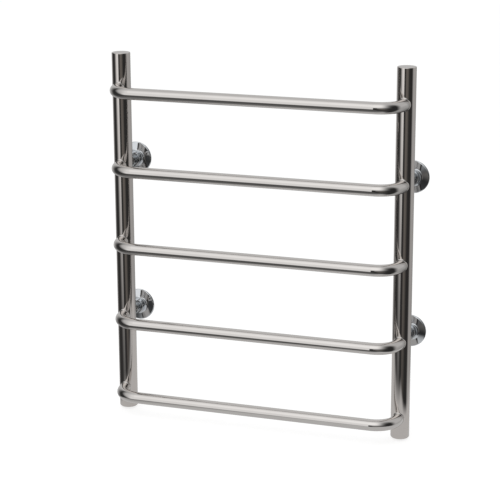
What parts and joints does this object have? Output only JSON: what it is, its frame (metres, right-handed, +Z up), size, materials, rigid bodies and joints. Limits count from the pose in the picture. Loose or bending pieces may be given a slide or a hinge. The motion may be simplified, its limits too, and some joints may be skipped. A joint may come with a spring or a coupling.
{
  "type": "towel warmer rack",
  "caption": "Wall-hung ladder towel rail heated by water: upright tube collectors, U-bent bars, telescopic brackets with cone covers, threaded bottom inlets and air vents.",
  "frame": {"origin": "on the wall plane, midway between the four wall screw holes, level with the middle bar", "axes": "+X along the wall to the right, +Y into the wall, +Z up; the bars face -Y"},
  "size_m": [0.556, 0.127, 0.637],
  "materials": {
    "polished_stainless": "mirror-polished stainless steel tube",
    "chromed_brass": "bright chrome plating on turned brass",
    "nickelled_brass": "nickel plating, satin",
    "black_oxide_steel": "black oxide, oiled",
    "black_rubber": "moulded rubber",
    "gasket_fibre": "pressed fibre"
  },
  "bodies": {
    "wall_brackets": {"wall_sockets": "chromed_brass"},
    "rack": {"bar_1": "polished_stainless", "bar_2": "polished_stainless", "bar_3": "polished_stainless", "bar_4": "polished_stainless", "bar_5": "polished_stainless", "left_collector": "polished_stainless", "right_collector": "polished_stainless", "top_caps": "polished_stainless", "inlet_bushes": "polished_stainless", "bracket_stems": "polished_stainless", "vent_bosses": "polished_stainless", "vent_gaskets": "gasket_fibre", "vent_plugs": "nickelled_brass"},
    "upper_left_cover": {"upper_left_rosette": "chromed_brass", "upper_left_rosette_ring": "black_rubber"},
    "lower_left_cover": {"lower_left_rosette": "chromed_brass", "lower_left_rosette_ring": "black_rubber"},
    "upper_right_cover": {"upper_right_rosette": "chromed_brass", "upper_right_rosette_ring": "black_rubber"},
    "lower_right_cover": {"lower_right_rosette": "chromed_brass", "lower_right_rosette_ring": "black_rubber"},
    "upper_left_grub": {"upper_left_grub_screw": "black_oxide_steel"},
    "lower_left_grub": {"lower_left_grub_screw": "black_oxide_steel"},
    "upper_right_grub": {"upper_right_grub_screw": "black_oxide_steel"},
    "lower_right_grub": {"lower_right_grub_screw": "black_oxide_steel"},
    "left_bleed": {"left_bleed_screw": "nickelled_brass"},
    "right_bleed": {"right_bleed_screw": "nickelled_brass"}
  },
  "joints": [
    {"name": "rack_slide", "type": "slide", "parent": "wall_brackets", "child": "rack", "axis": [0, -1, 0], "range_m": [-0.006, 0.01]},
    {"name": "upper_left_cover_slide", "type": "slide", "parent": "wall_brackets", "child": "upper_left_cover", "axis": [0, -1, 0], "range_m": [0, 0.014]},
    {"name": "lower_left_cover_slide", "type": "slide", "parent": "wall_brackets", "child": "lower_left_cover", "axis": [0, -1, 0], "range_m": [0, 0.014]},
    {"name": "upper_right_cover_slide", "type": "slide", "parent": "wall_brackets", "child": "upper_right_cover", "axis": [0, -1, 0], "range_m": [0, 0.014]},
    {"name": "lower_right_cover_slide", "type": "slide", "parent": "wall_brackets", "child": "lower_right_cover", "axis": [0, -1, 0], "range_m": [0, 0.014]},
    {"name": "upper_left_grub_turn", "type": "hinge", "parent": "wall_brackets", "child": "upper_left_grub", "pos_m": [-0.25, -0.025, 0.127], "axis": [0, 0, -1], "range_deg": [0, 360]},
    {"name": "lower_left_grub_turn", "type": "hinge", "parent": "wall_brackets", "child": "lower_left_grub", "pos_m": [-0.25, -0.025, -0.143], "axis": [0, 0, -1], "range_deg": [0, 360]},
    {"name": "upper_right_grub_turn", "type": "hinge", "parent": "wall_brackets", "child": "upper_right_grub", "pos_m": [0.25, -0.025, 0.127], "axis": [0, 0, -1], "range_deg": [0, 360]},
    {"name": "lower_right_grub_turn", "type": "hinge", "parent": "wall_brackets", "child": "lower_right_grub", "pos_m": [0.25, -0.025, -0.143], "axis": [0, 0, -1], "range_deg": [0, 360]},
    {"name": "left_bleed_turn", "type": "hinge", "parent": "rack", "child": "left_bleed", "pos_m": [-0.25, -0.036, 0.3], "axis": [0, 1, 0], "range_deg": [0, 360]},
    {"name": "right_bleed_turn", "type": "hinge", "parent": "rack", "child": "right_bleed", "pos_m": [0.25, -0.036, 0.3], "axis": [0, 1, 0], "range_deg": [0, 360]}
  ]
}
